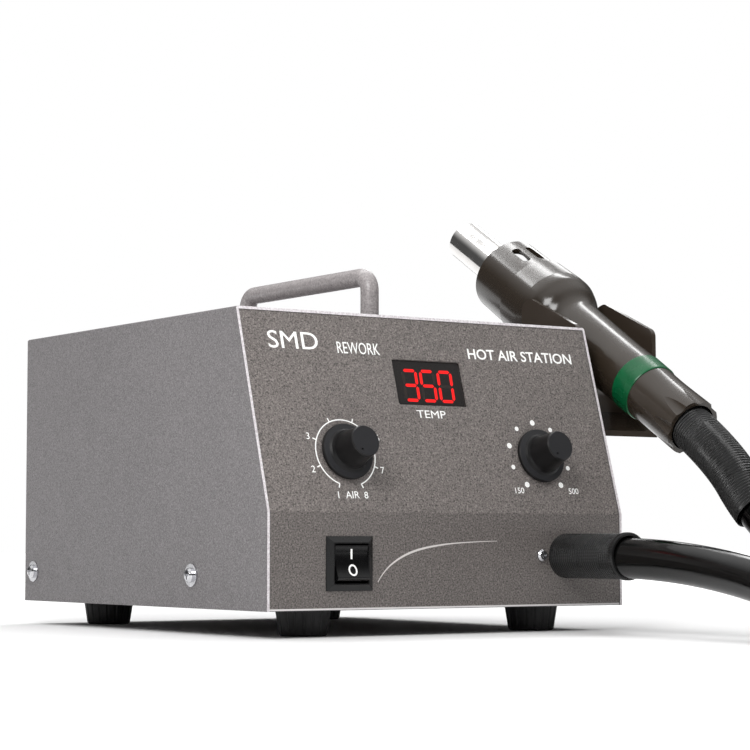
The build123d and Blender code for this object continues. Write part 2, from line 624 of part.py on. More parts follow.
def hose():
    """The laid hose, then the stretch that goes up through the flexible sleeve into the handset's tail."""
    radii = bend_radii(ROUTE)
    print("hose bend radii:", [round(r) for r in radii])
    print("hose length:", round(FilletPolyline(*ROUTE, radius=radii).length, 1))
    k = HANDSET_HOSE_FROM
    laid = ROUTE[:k] + [between(ROUTE[k - 1], ROUTE[k], 0.50)]
    upper = [between(ROUTE[k - 1], ROUTE[k], 0.52)] + ROUTE[k:]
    lower_hose = along(laid, HOSE_R, radii[: k - 1])
    upper_hose = along(upper, HOSE_R, radii[k - 1 :])
    line = FilletPolyline(*upper, radius=radii[k - 1 :])
    inside = HOSE_INTO_TAIL - 8.0
    sleeve = along(upper, TAIL_SLEEVE_R, radii[k - 1 :]) - along(upper, HOSE_R + 0.1, radii[k - 1 :])
    for reach, keep in ((inside, Keep.BOTTOM), (HOSE_INTO_TAIL + TAIL_SLEEVE_LENGTH, Keep.TOP)):
        share = 1 - reach / line.length
        cut = Plane(origin=line @ share, z_dir=line % share)
        sleeve = split(sleeve, bisect_by=cut, keep=keep)
    return lower_hose, upper_hose, sleeve


def build():
    nodes["top_cover"] = top_cover()
    nodes["front_panel"] = front_panel()
    nodes["rear_panel"] = rear_panel()
    nodes["base_tray"] = base_tray()
    nodes["rubber_feet"] = group([Pos(x, y, 0) * rubber_foot() for x, y in foot_places()])
    nodes["foot_screws"] = foot_screws()
    nodes["carry_handle"] = carry_handle()
    nodes["handle_screws"] = handle_screws()
    nodes["cover_screws"] = cover_screws()
    nodes["display_window"], nodes["display_module"], nodes["display_board"] = display()
    nuts = []
    for name, at in (("air", AIR_KNOB), ("temp", TEMP_KNOB)):
        nodes[name + "_knob"], nodes[name + "_pot"], nodes[name + "_pot_shaft"], *rest = control(at)
        nuts += rest
    nodes["pot_nuts"] = group(nuts)
    nodes["switch_housing"], nodes["power_rocker"], nodes["switch_blades"] = switch()
    nodes["hose_gland"], nodes["gland_sleeve"] = hose_outlet()
    nodes["earth_screw"] = earth_screw()
    frame, mounts, core, coil, chamber, bellows = pump()
    arm, post = pump_arm()
    nodes["pump_frame"] = group([frame, post])
    nodes["pump_mounts"] = mounts
    nodes["pump_core"] = core
    nodes["pump_coil"] = coil
    nodes["pump_chamber"] = chamber
    nodes["pump_bellows"] = bellows
    nodes["pump_arm"] = arm
    nodes["air_tube"] = air_tube()
    names = ("control_board", "board_fixings", "heat_sink", "board_parts")
    for name, solid in zip(names, electronics()):
        nodes[name] = solid
    nodes["transformer_core"], nodes["transformer_coil"] = transformer()
    nodes["mains_inlet"], nodes["inlet_pins"], nodes["inlet_screws"] = mains_inlet()
    nodes["handset_holder"] = handset_holder()
    nodes["holder_screws"] = holder_screws()
    nodes["handle_shell"] = handle_shell()
    nodes["grip_ring"] = grip_ring()
    nodes["vent_cap"] = vent_cap()
    nodes["cap_screws"] = cap_screws()
    nodes["nozzle_pipe"] = nozzle_pipe()
    names = ("heater_former", "heater_winding", "mica_liner", "thermocouple", "heater_socket")
    for name, solid in zip(names, heater()):
        nodes[name] = solid
    nodes["air_duct"] = air_duct()
    nodes["hose"], nodes["hose_upper"], nodes["tail_sleeve"] = hose()


build()
boxes = [solid.bounding_box() for name, solid in nodes.items() if name not in CORD_NODES]
low = [min(getattr(b.min, axis) for b in boxes) for axis in "XYZ"]
high = [max(getattr(b.max, axis) for b in boxes) for axis in "XYZ"]
SHIFT = (-(low[0] + high[0]) / 2, -(low[1] + high[1]) / 2, -low[2])
print("shift from the case frame:", [round(v, 4) for v in SHIFT])
print("nodes:", len(nodes))

os.makedirs("parts", exist_ok=True)
for name, solid in nodes.items():
    nodes[name] = Pos(*SHIFT) * solid
    export_step(nodes[name], os.path.join("parts", name + ".step"))
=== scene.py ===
import json
from math import cos, pi, radians, sin

import bpy
from mathutils import Matrix, Vector


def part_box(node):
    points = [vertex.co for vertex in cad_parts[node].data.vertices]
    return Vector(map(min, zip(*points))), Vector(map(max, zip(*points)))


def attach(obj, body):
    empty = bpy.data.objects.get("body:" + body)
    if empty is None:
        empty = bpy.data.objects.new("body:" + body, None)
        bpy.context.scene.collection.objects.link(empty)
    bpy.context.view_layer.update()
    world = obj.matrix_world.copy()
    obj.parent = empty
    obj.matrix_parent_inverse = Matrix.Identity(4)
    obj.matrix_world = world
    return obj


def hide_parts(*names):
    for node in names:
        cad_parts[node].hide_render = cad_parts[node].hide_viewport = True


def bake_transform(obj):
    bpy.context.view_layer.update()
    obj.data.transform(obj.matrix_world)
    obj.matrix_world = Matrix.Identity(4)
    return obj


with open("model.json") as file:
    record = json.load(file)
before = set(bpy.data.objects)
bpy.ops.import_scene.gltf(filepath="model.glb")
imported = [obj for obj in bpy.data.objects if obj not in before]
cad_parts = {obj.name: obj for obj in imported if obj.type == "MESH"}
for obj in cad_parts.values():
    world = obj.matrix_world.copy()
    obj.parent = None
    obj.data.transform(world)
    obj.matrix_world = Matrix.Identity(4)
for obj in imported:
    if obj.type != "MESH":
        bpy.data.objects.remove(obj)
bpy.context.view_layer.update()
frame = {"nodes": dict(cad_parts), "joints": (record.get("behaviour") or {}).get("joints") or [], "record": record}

MM = 0.001
nodes = frame["nodes"]
joints = {joint["name"]: joint for joint in frame["joints"]}
mounts = {mount["name"]: mount for mount in frame["record"]["mounts"]}

# ---- places, from the frame ----------------------------------------------------------------------
# The case frame has x = 0 on the case's middle plane, y = 0 on the front and z = 0 under the case.
LIP = 0.4  # the cover's cut edges stand this far in front of the panel
AIR_KNOB = (-50.6, 26.3)  # across and up the sloped panel from its fold
TEMP_KNOB = (52.9, 26.6)
ROCKER_TILT = radians(10.0)
GLAND = (62.0, 22.3)
NOZZLE_MIDDLE = 182.05  # the nozzle mount's place along the handset, from its tail
TAIL_HOSE = 16.0  # how far the hose goes into the handset's tail
WINDOW_DEPTH = -1.25  # the display window's face, behind the sloped panel's face

cover_low, cover_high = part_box("top_cover")
CASE = Vector(((cover_low.x + cover_high.x) / 2, cover_low.y + LIP * MM, cover_low.z))


def at(x, y, z):
    """A point of the case frame, in millimetres, as a point of the row frame, in metres."""
    return CASE + Vector((x, y, z)) * MM


def placed(origin, across, up, out):
    """A matrix from local millimetres (across, up, out) to the row frame."""
    turn = Matrix((across, up, out)).transposed().to_4x4()
    return Matrix.Translation(origin) @ turn @ Matrix.Scale(MM, 4)


RIGHT = Vector((1, 0, 0))
UP = Vector((0, 0, 1))
slope_out = -Vector(joints["air_knob_turn"]["axis"])
slope_up = slope_out.cross(RIGHT)
knob_offset = (AIR_KNOB[0] * RIGHT + AIR_KNOB[1] * slope_up) * MM
slope_zero = Vector(joints["air_knob_turn"]["pos_m"]) - knob_offset
FRONT = placed(at(0, 0, 0), RIGHT, UP, Vector((0, -1, 0)))
SLOPE = placed(slope_zero, RIGHT, slope_up, slope_out)
ROCKER = placed(Vector(joints["power_rocker_tilt"]["pos_m"]), RIGHT, UP, Vector((0, -1, 0)))
ROCKER = ROCKER @ Matrix.Rotation(-ROCKER_TILT, 4, "X")
hand_axis = Vector(mounts["nozzle_seat"]["axis"])
hand_tail = Vector(mounts["nozzle_seat"]["pos_m"]) - hand_axis * NOZZLE_MIDDLE * MM

# ---- camera --------------------------------------------------------------------------------------
CAMERA_AT = (-588.9, -816.8, 29.0)
CAMERA_YAW = radians(33.87)
CAMERA_PITCH = radians(4.08)
LENS = 111.6


def add_camera():
    lens = bpy.data.cameras.new("camera")
    lens.lens = LENS
    lens.sensor_width = 36.0
    camera = bpy.data.objects.new("camera", lens)
    bpy.context.scene.collection.objects.link(camera)
    flat = cos(CAMERA_PITCH)
    look = Vector((sin(CAMERA_YAW) * flat, cos(CAMERA_YAW) * flat, sin(CAMERA_PITCH)))
    camera.rotation_euler = look.to_track_quat("-Z", "Y").to_euler()
    camera.location = at(*CAMERA_AT)
    bpy.context.scene.camera = camera


# ---- finishes ------------------------------------------------------------------------------------
RANGE_SOCKETS = ("From Min", "From Max", "To Min", "To Max")


def srgb(red, green, blue):
    """A colour as it looks on a screen, 0 to 255, turned into the linear values that shaders use."""
    return tuple((c / 255) ** 2.2 for c in (red, green, blue)) + (1.0,)


def scaled(colour, factor):
    return tuple(min(1.0, c * factor) for c in colour[:3]) + (1.0,)


class Finish:
    """A procedural material, in the coordinates of the piece itself. Sizes are in millimetres."""

    def __init__(self, name, colour, rough, metal=0.0, coat=0.0, shine=0.5):
        self.material = bpy.data.materials.new(name)
        self.material.use_nodes = True
        self.tree = self.material.node_tree
        self.shader = self.tree.nodes["Principled BSDF"]
        self.shader.inputs["Base Color"].default_value = colour
        self.shader.inputs["Roughness"].default_value = rough
        self.shader.inputs["Metallic"].default_value = metal
        self.shader.inputs["Coat Weight"].default_value = coat
        self.shader.inputs["Coat Roughness"].default_value = 0.08
        self.shader.inputs["Specular IOR Level"].default_value = shine
        self.coords = self.add("ShaderNodeTexCoord")
        self.colour = colour
        self.rough = rough
        self.base = None
        self.height = None

    def add(self, kind, **settings):
        node = self.tree.nodes.new(kind)
        for name, value in settings.items():
            setattr(node, name, value)
        return node

    def wire(self, start, end):
        self.tree.links.new(start, end)

    def mapped(self, value, low, high, new_low=0.0, new_high=1.0):
        node = self.add("ShaderNodeMapRange")
        self.wire(value, node.inputs["Value"])
        for name, number in zip(RANGE_SOCKETS, (low, high, new_low, new_high)):
            node.inputs[name].default_value = number
        return node.outputs["Result"]

    def sums(self, operation, *values):
        node = self.add("ShaderNodeMath", operation=operation)
        for socket, value in zip(node.inputs, values):
            if isinstance(value, (int, float)):
                socket.default_value = value
            else:
                self.wire(value, socket)
        return node.outputs[0]

    def noise(self, size, detail=2.0, stretch=(1, 1, 1)):
        """Noise whose blobs are about size millimetres across, stretched along each axis."""
        space = self.add("ShaderNodeMapping")
        self.wire(self.coords.outputs["Object"], space.inputs["Vector"])
        space.inputs["Scale"].default_value = [1.0 / s for s in stretch]
        node = self.add("ShaderNodeTexNoise")
        self.wire(space.outputs["Vector"], node.inputs["Vector"])
        node.inputs["Scale"].default_value = 0.6 / (size * MM)
        node.inputs["Detail"].default_value = detail
        return node.outputs["Fac"]

    def along(self, origin, axis):
        """Distance in metres along an axis from a point, in the piece's own coordinates."""
        shift = self.add("ShaderNodeVectorMath", operation="SUBTRACT")
        self.wire(self.coords.outputs["Object"], shift.inputs[0])
        shift.inputs[1].default_value = origin
        dot = self.add("ShaderNodeVectorMath", operation="DOT_PRODUCT")
        self.wire(shift.outputs["Vector"], dot.inputs[0])
        dot.inputs[1].default_value = axis
        return dot.outputs["Value"]

    def facing(self, axis, low, high):
        """1 where the surface faces along axis, 0 where it is turned away."""
        dot = self.add("ShaderNodeVectorMath", operation="DOT_PRODUCT")
        self.wire(self.coords.outputs["Normal"], dot.inputs[0])
        dot.inputs[1].default_value = axis
        return self.mapped(dot.outputs["Value"], low, high)

    def mix(self, mask, colour_a, colour_b):
        node = self.add("ShaderNodeMix", data_type="RGBA")
        self.wire(mask, node.inputs[0])
        for socket, colour in ((node.inputs[6], colour_a), (node.inputs[7], colour_b)):
            if isinstance(colour, tuple):
                socket.default_value = colour
            else:
                self.wire(colour, socket)
        self.base = node.outputs[2]
        self.wire(self.base, self.shader.inputs["Base Color"])
        return self

    def tint(self, amount, size, contrast=(0.35, 0.65), stretch=(1, 1, 1)):
        """Patches a little darker and lighter than the colour."""
        mask = self.mapped(self.noise(size, 3.0, stretch), *contrast)
        return self.mix(mask, scaled(self.colour, 1 - amount), scaled(self.colour, 1 + amount))

    def speckle(self, colour, size, low, high):
        """Spots of another colour over what is there."""
        return self.mix(self.mapped(self.noise(size, 1.0), low, high), self.base or self.colour, colour)

    def shade(self, mask, factor):
        """Darkens what is there by factor where mask is 1."""
        node = self.add("ShaderNodeMix", data_type="RGBA", blend_type="MULTIPLY")
        self.wire(mask, node.inputs[0])
        self.wire(self.base, node.inputs[6])
        node.inputs[7].default_value = (factor, factor, factor, 1.0)
        self.base = node.outputs[2]
        self.wire(self.base, self.shader.inputs["Base Color"])
        return self

    def paint(self, mask, colour):
        return self.mix(mask, self.base or self.colour, colour)

    def worn(self, amount, size):
        """Roughness that wanders by amount each way."""
        value = self.mapped(self.noise(size, 4.0), 0.3, 0.7, self.rough - amount, self.rough + amount)
        self.wire(value, self.shader.inputs["Roughness"])
        return self

    def bump(self, value, depth, strength=1.0):
        node = self.add("ShaderNodeBump")
        node.inputs["Distance"].default_value = depth * MM
        node.inputs["Strength"].default_value = strength
        self.wire(value, node.inputs["Height"])
        if self.height is not None:
            self.wire(self.height, node.inputs["Normal"])
        self.height = node.outputs["Normal"]
        self.wire(self.height, self.shader.inputs["Normal"])
        return self

    def grain(self, size, depth, detail=2.0, stretch=(1, 1, 1)):
        return self.bump(self.noise(size, detail, stretch), depth)

    def turns(self, origin, axis, pitch, depth):
        """Fine grooves across an axis, pitch millimetres apart."""
        wave = self.sums("SINE", self.sums("MULTIPLY", self.along(origin, axis), 2 * pi / (pitch * MM)))
        return self.bump(wave, depth)


def powder_coat(name, colour, rough, size, depth, speckle):
    finish = Finish(name, colour, rough).tint(0.05, 60)
    finish.speckle(scaled(colour, 1 + speckle), size, 0.46, 0.72)
    finish.speckle(scaled(colour, 1 - speckle), size * 0.9, 0.46, 0.72)
    return finish.worn(0.06, 8).grain(size, depth).grain(size * 4, depth)


def moulded(name, colour, rough, depth=0.012, coat=0.0, shine=0.5):
    finish = Finish(name, colour, rough, coat=coat, shine=shine)
    return finish.tint(0.06, 14).worn(0.05, 9).grain(0.5, depth)


def plated(name, colour, rough, stretch=(1, 1, 1)):
    finish = Finish(name, colour, rough, metal=1.0).tint(0.05, 3, stretch=stretch)
    return finish.worn(min(0.05, rough * 0.6), 2).grain(0.4, 0.002, stretch=stretch)


COVER = srgb(119, 116, 117)
PANEL = srgb(121, 115, 112)
SHADE_BELOW_FOLD = 0.8  # painted shade: the panel below its fold is darkened by this factor, against the sloped part
EDGE_HIGHLIGHT_LINE = (1.1, 0.9)  # the bare edge of the panel, painted near white as a highlight, ends between these heights


def case_finishes():
    """Powder coats. The cover's cut edges and the panel's bottom edge are bare, painted near white as a
    highlight, and the panel has painted shade below its fold."""
    cover = powder_coat("cover_coat", COVER, 0.5, 0.42, 0.05, 0.45)
    coat = cover.base
    # painted highlight: the cover's bare cut edges, which face the front, are painted near white as if catching
    # light
    cover.mix(cover.mapped(cover.noise(0.5), 0.35, 0.65), srgb(206, 198, 202), srgb(238, 234, 236))
    cover.mix(cover.facing((0, -1, 0), 0.75, 0.9), coat, cover.base)
    panel = powder_coat("panel_coat", PANEL, 0.42, 0.45, 0.08, 0.68)
    # painted shade: the panel's lower, upright part is darkened, where less light falls on it
    panel.shade(panel.facing((0, -1, 0), 0.968, 0.99), SHADE_BELOW_FOLD)
    # painted highlight: a near-white line along the bottom edge of the panel's front face
    low_highlight_band = panel.mapped(panel.along(at(0, 0, 0), (0, 0, 1)), *(z * MM for z in EDGE_HIGHLIGHT_LINE))
    edge_highlight = panel.sums("MULTIPLY", low_highlight_band, panel.facing((0, -1, 0), 0.75, 0.9))
    panel.paint(edge_highlight, srgb(226, 222, 222))
    tray = powder_coat("tray_coat", scaled(COVER, 0.85), 0.5, 0.5, 0.04, 0.15)
    bar = powder_coat("bar_coat", srgb(166, 160, 160), 0.28, 0.6, 0.05, 0.3)
    use(cover, "top_cover")
    use(panel, "front_panel")
    use(tray, "rear_panel", "base_tray")
    use(bar, "carry_handle")


def use(finish, *names):
    """Gives a finish to CAD nodes."""
    for name in names:
        slots = nodes[name].data.materials
        slots.clear()
        slots.append(finish.material)


KNOB_TOP = (2.3, 2.6)  # heights over the joint's place from which a knob's flat faces are grey


def knob_finish(name, joint):
    """Near-black stem, with the grey satin top and skirt that face out of the panel."""
    finish = Finish(name, srgb(17, 16, 17), 0.42, shine=0.3).tint(0.06, 4).worn(0.05, 3)
    origin = Vector(joints[joint]["pos_m"])
    out = -Vector(joints[joint]["axis"])
    faces_out = finish.facing(out, 0.93, 0.985)
    raised = finish.mapped(finish.along(origin, out), *(reach * MM for reach in KNOB_TOP))
    finish.paint(finish.sums("MULTIPLY", faces_out, raised), srgb(46, 46, 48))
    return finish.grain(0.35, 0.02)


def control_finishes():
    use(knob_finish("air_knob_plastic", "air_knob_turn"), "air_knob")
    use(knob_finish("temp_knob_plastic", "temp_knob_turn"), "temp_knob")
    use(moulded("switch_plastic", srgb(16, 16, 17), 0.28, 0.006, 0.1, 0.4), "switch_housing")
    use(moulded("rocker_plastic", srgb(14, 14, 15), 0.22, 0.006, 0.15, 0.4), "power_rocker")
    window = Finish("smoked_window", srgb(34, 31, 30), 0.12, coat=0.5).tint(0.1, 10).grain(3, 0.004)
    use(window, "display_window")
    use(moulded("gland_plastic", srgb(18, 18, 18), 0.32), "hose_gland")
    can = plated("pot_can", srgb(170, 168, 160), 0.35)
    use(can, "air_pot", "temp_pot", "air_pot_shaft", "temp_pot_shaft")
    use(plated("blade_brass", srgb(190, 160, 90), 0.3), "switch_blades", "inlet_pins")


def small_metal_finishes():
    bright = plated("chrome_screw", srgb(205, 205, 208), 0.16)
    zinc = plated("zinc_screw", srgb(175, 176, 178), 0.32)
    use(bright, "earth_screw", "cover_screws")
    use(zinc, "foot_screws", "handle_screws", "holder_screws", "inlet_screws", "cap_screws")
    use(zinc, "board_fixings", "pot_nuts", "pump_frame", "pump_arm")


def foot_finish():
    rubber = Finish("foot_rubber", srgb(26, 26, 27), 0.62).tint(0.12, 5).worn(0.08, 4).grain(0.4, 0.03)
    use(rubber, "rubber_feet")


def inside_finishes():
    board = Finish("solder_mask", srgb(18, 92, 48), 0.3, coat=0.3).tint(0.12, 3)
    use(board.speckle(srgb(196, 186, 140), 2.2, 0.68, 0.72), "control_board", "display_board")
    use(moulded("component_black", srgb(30, 30, 32), 0.4), "board_parts", "display_module")
    use(moulded("inlet_plastic", srgb(24, 24, 25), 0.38), "mains_inlet")
    sheets = Finish("lamination_steel", srgb(96, 94, 92), 0.4, metal=0.8).tint(0.1, 4)
    use(sheets.turns(CASE, (0, 1, 0), 0.5, 0.04), "transformer_core", "pump_core")
    wire = Finish("varnished_wire", srgb(168, 92, 44), 0.3, coat=0.4).tint(0.12, 2)
    use(wire.turns(CASE, (0, 0, 1), 0.6, 0.15), "transformer_coil", "pump_coil")
    use(plated("cast_chamber", srgb(176, 178, 180), 0.42), "pump_chamber")
    use(plated("extruded_sink", srgb(182, 184, 186), 0.34, stretch=(1, 1, 12)), "heat_sink")
    rubber = Finish("bellows_rubber", srgb(34, 34, 34), 0.6).tint(0.1, 4).grain(0.5, 0.03)
    use(rubber, "pump_bellows", "pump_mounts")
    use(Finish("silicone_tube", srgb(150, 146, 138), 0.35).tint(0.06, 6).grain(0.8, 0.01), "air_tube")


def handset_finishes():
    grip = Finish("grip_plastic", srgb(54, 47, 40), 0.2, coat=0.15).tint(0.06, 30).worn(0.03, 18)
    use(grip.grain(0.9, 0.003), "handle_shell", "vent_cap")
    holder = Finish("holder_plastic", srgb(64, 56, 49), 0.16, coat=0.2).tint(0.05, 30).worn(0.03, 22)
    use(holder.grain(1.2, 0.003), "handset_holder")
    green = Finish("ring_rubber", srgb(16, 90, 54), 0.25, shine=0.35).tint(0.07, 5).worn(0.05, 4)
    use(green.grain(0.6, 0.008), "grip_ring")
    pipe = Finish("nozzle_chrome", srgb(212, 210, 208), 0.1, metal=1.0).tint(0.05, 6).worn(0.05, 5)
    use(pipe.grain(0.4, 0.002), "nozzle_pipe")
    ceramic = Finish("heater_ceramic", srgb(214, 206, 190), 0.6).tint(0.08, 5).grain(0.5, 0.03)
    use(ceramic, "heater_former", "heater_socket", "air_duct")
    coil = Finish("element_wire", srgb(140, 130, 120), 0.35, metal=1.0).tint(0.1, 2)
    use(coil.turns(hand_tail, hand_axis, 1.0, 0.2), "heater_winding")
    use(plated("probe_steel", srgb(160, 158, 154), 0.3), "thermocouple")
    use(Finish("mica_sheet", srgb(160, 140, 104), 0.35).tint(0.15, 6).grain(2, 0.02), "mica_liner")


# ---- mesh helpers --------------------------------------------------------------------------------
def add_mesh(name, points, faces, finish, body=None, smooth=False):
    mesh = bpy.data.meshes.new(name)
    mesh.from_pydata([tuple(p) for p in points], [], faces)
    mesh.update()
    mesh.materials.append(finish.material)
    if smooth:
        mesh.polygons.foreach_set("use_smooth", [True] * len(mesh.polygons))
        mesh.set_sharp_from_angle(angle=radians(50))
    piece = bpy.data.objects.new(name, mesh)
    bpy.context.scene.collection.objects.link(piece)
    if body:
        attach(piece, body)
    return piece


def plates(name, place, outlines, thick, finish, body, base=0.0):
    """Thin flat plates: each outline is a list of (across, up) points, drawn out from base by thick."""
    points = []
    faces = []
    for outline in outlines:
        first = len(points)
        count = len(outline)
        points += [place @ Vector((x, y, base)) for x, y in outline]
        points += [place @ Vector((x, y, base + thick)) for x, y in outline]
        faces.append([first + k for k in reversed(range(count))])
        faces.append([first + count + k for k in range(count)])
        for k in range(count):
            after = (k + 1) % count
            faces.append([first + k, first + after, first + count + after, first + count + k])
    return add_mesh(name, points, faces, finish, body)


def band(middle, half_widths):
    """The outline of a line of varying width that follows (across, up) points."""
    left = []
    right = []
    for k, point in enumerate(middle):
        before = middle[max(k - 1, 0)]
        after = middle[min(k + 1, len(middle) - 1)]
        way = (Vector(after) - Vector(before)).normalized()
        side = Vector((-way.y, way.x)) * half_widths[k]
        left.append(tuple(Vector(point) + side))
        right.append(tuple(Vector(point) - side))
    return left + right[::-1]


def strips(line):
    """The same outline as four-sided stretches, which a mesh fills without folds."""
    half = len(line) // 2
    far = line[::-1]
    return [[line[k], far[k], far[k + 1], line[k + 1]] for k in range(half - 1)]


def polar(centre, radius, turn):
    """A point at an angle clockwise from straight up, in degrees."""
    return centre[0] + radius * sin(radians(turn)), centre[1] + radius * cos(radians(turn))


def disc(centre, radius, count=20):
    return [polar(centre, radius, -360 * k / count) for k in range(count)]


def tube(name, line, ups, profile, finish, count, hollow, body=None):
    """A tube round a line. profile is (index of a point of the line, radius), with count points round
    each. A hollow one closes on itself, and has fine grooves along its outside."""
    points = []
    faces = []
    for index, radius in profile:
        middle = line[index]
        way = (line[min(index + 1, len(line) - 1)] - line[max(index - 1, 0)]).normalized()
        up = ups[index]
        side = way.cross(up).normalized()
        for k in range(count):
            turn = 2 * pi * k / count
            outside = hollow and radius > OUTSIDE_R * MM
            groove = FLUTE_DEPTH * MM if k % 2 and outside else 0.0
            points.append(middle + (cos(turn) * up + sin(turn) * side) * (radius - groove))
    rings = len(profile)
    for ring in range(rings if hollow else rings - 1):
        onward = (ring + 1) % rings
        for k in range(count):
            after = (k + 1) % count
            a = ring * count
            b = onward * count
            faces.append([a + k, a + after, b + after, b + k])
    if not hollow:
        faces.append(list(range(count))[::-1])
        faces.append([(rings - 1) * count + k for k in range(count)])
    return add_mesh(name, points, faces, finish, body, smooth=True)


# ---- hose and its two sleeves --------------------------------------------------------------------
HOSE_R = 8.75
FLOOR_Z = -11.3 + HOSE_R
ROUTE = [
    (62, 9, 22.3), (62, -43, 22.3), (61.5, -98, 18.2), (57, -150, 8.5), (35, -195, FLOOR_Z),
    (10, -235, FLOOR_Z), (6, -282, FLOOR_Z), (24.5, -325, FLOOR_Z), (62, -353.5, FLOOR_Z),
    (109, -359.5, FLOOR_Z), (152.5, -342, FLOOR_Z), (183, -306, FLOOR_Z), (194, -260.5, FLOOR_Z),
    (185.5, -214, FLOOR_Z), (164.5, -171.5, -1), (142, -127, 4.5), (125, -92.5, 18.5),
    (118, -65, 38.5), (118, -40.5, 69.25), (118, -9.2, 87.95),
]
SLEEVE_LENGTH = 44.0
SLEEVE_R = 9.95
TAIL_SLEEVE_R = 10.5
TAIL_SLEEVE_LENGTH = 55.0  # outside the handset
SLEEVE_PITCH = 1.4  # from rib to rib
RIB_STEPS = 6  # rings to one rib
RIB_DEPTH = 0.38
FLUTE_DEPTH = 0.2  # of the fine grooves along a sleeve
HOSE_COUNT = 56  # points round the hose
SLEEVE_COUNT = 192  # points round a sleeve
GLAND_BORE_R = HOSE_R + 0.25
TAIL_BORE_R = HOSE_R + 0.2
OUTSIDE_R = HOSE_R + 0.5  # a sleeve's outer points are beyond this radius, and its bore's within it
GLAND_START = 0.1  # the gap between the case and its sleeve
RIM_LENGTH = 2.6  # the rim at the free end of the case's sleeve
RIM_STEP = 0.45
RIM_CHAMFER = (0.4, 0.1)  # its length and its step
TAIL_END = 8.0  # how far this sleeve goes into the handset's tail
TAIL_EDGE = (1.2, 0.1)  # the plain edge at the sleeve's free end: its length, and how far it is in


def route_line():
    """Points along the route's smooth spline, and an upward direction at each that never twists."""
    curve = bpy.data.curves.new("route", "CURVE")
    curve.dimensions = "3D"
    curve.resolution_u = 40
    spline = curve.splines.new("NURBS")
    spline.points.add(len(ROUTE) - 1)
    for control, point in zip(spline.points, ROUTE):
        control.co = (*at(*point), 1.0)
    spline.order_u = 3
    spline.use_endpoint_u = True
    route = bpy.data.objects.new("route", curve)
    bpy.context.scene.collection.objects.link(route)
    bpy.context.view_layer.update()
    mesh = bpy.data.meshes.new_from_object(route)
    line = [v.co.copy() for v in mesh.vertices]
    bpy.data.objects.remove(route)
    bpy.data.meshes.remove(mesh)
    up = UP.copy()
    ups = []
    for k, point in enumerate(line):
        way = (line[min(k + 1, len(line) - 1)] - line[max(k - 1, 0)]).normalized()
        up = (up - way * up.dot(way)).normalized()
        ups.append(up)
    return line, ups


def distances(line):
    total = 0.0
    result = [0.0]
    for a, b in zip(line, line[1:]):
        total += (b - a).length
        result.append(total)
    return result


def ribbed(radius, reach):
    """Outer radius of a finely ribbed sleeve, reach millimetres along it."""
    return radius - RIB_DEPTH * (0.5 - 0.5 * cos(2 * pi * reach / SLEEVE_PITCH))


def hose_finish():
    finish = Finish("hose_rubber", srgb(8, 8, 8), 0.16, shine=0.4).tint(0.12, 25).worn(0.06, 16)
    return finish.grain(9, 0.12, detail=3).grain(0.6, 0.006)


def sleeve_finish():
    finish = Finish("sleeve_rubber", srgb(30, 30, 30), 0.28).tint(0.1, 6).worn(0.05, 5)
    return finish.grain(0.5, 0.012)


def gland_sleeve(finish):
    """The straight ribbed sleeve on the case, with a rim at its free end."""
    steps = int(SLEEVE_LENGTH * RIB_STEPS / SLEEVE_PITCH)
    line = []
    profile = []
    for k in range(steps + 1):
        reach = GLAND_START + (SLEEVE_LENGTH - GLAND_START) * k / steps
        radius = ribbed(SLEEVE_R, reach)
        if reach > SLEEVE_LENGTH - RIM_LENGTH:
            radius = SLEEVE_R + RIM_STEP
        if reach > SLEEVE_LENGTH - RIM_CHAMFER[0]:
            radius = SLEEVE_R + RIM_CHAMFER[1]
        line.append(at(GLAND[0], -reach, GLAND[1]))
        profile.append((k, radius * MM))
    profile += [(steps, GLAND_BORE_R * MM), (0, GLAND_BORE_R * MM)]
    ups = [UP] * len(line)
    count = SLEEVE_COUNT
    piece = tube("gland_sleeve_ribbed", line, ups, profile, finish, count, hollow=True, body="case")
    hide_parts("gland_sleeve")
    return piece


def at_reach(line, ups, reached, distance):
    """The point and the upward direction at a distance along the line."""
    for k in range(1, len(reached)):
        if reached[k] >= distance:
            share = (distance - reached[k - 1]) / max(reached[k] - reached[k - 1], 1e-9)
            return line[k - 1].lerp(line[k], share), ups[k - 1].lerp(ups[k], share).normalized()
    return line[-1], ups[-1]


def tail_sleeve(line, ups, finish):
    """The flexible ribbed sleeve that comes out of the handset's tail round the hose."""
    reached = distances(line)
    end = reached[-1] - (TAIL_HOSE - TAIL_END) * MM
    start = reached[-1] - (TAIL_HOSE + TAIL_SLEEVE_LENGTH) * MM
    steps = int((end - start) / MM * RIB_STEPS / SLEEVE_PITCH)
    middles = []
    sides = []
    profile = []
    for k in range(steps + 1):
        distance = start + (end - start) * k / steps
        point, up = at_reach(line, ups, reached, distance)
        middles.append(point)
        sides.append(up)
        reach = (distance - start) / MM
        radius = ribbed(TAIL_SLEEVE_R, reach)
        if reach < TAIL_EDGE[0]:
            radius = TAIL_SLEEVE_R - TAIL_EDGE[1]
        profile.append((k, radius * MM))
    profile += [(k, TAIL_BORE_R * MM) for k in range(steps, -1, -RIB_STEPS)]
    piece = tube("tail_sleeve_ribbed", middles, sides, profile, finish, SLEEVE_COUNT, hollow=True)
    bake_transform(piece)
    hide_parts("tail_sleeve")
    return piece


def hose():
    line, ups = route_line()
    profile = [(k, HOSE_R * MM) for k in range(len(line))]
    piece = tube("air_hose", line, ups, profile, hose_finish(), HOSE_COUNT, hollow=False)
    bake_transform(piece)
    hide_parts("hose", "hose_upper")
    ribs = sleeve_finish()
    sleeves = [gland_sleeve(ribs), tail_sleeve(line, ups, ribs)]


# ---- printed marks -------------------------------------------------------------------------------
INK = 0.05  # thickness of the printed ink
INK_GLOW = 0.3
BOLD = 0.012  # how far a bold letter's outline moves out, for letters 1 high


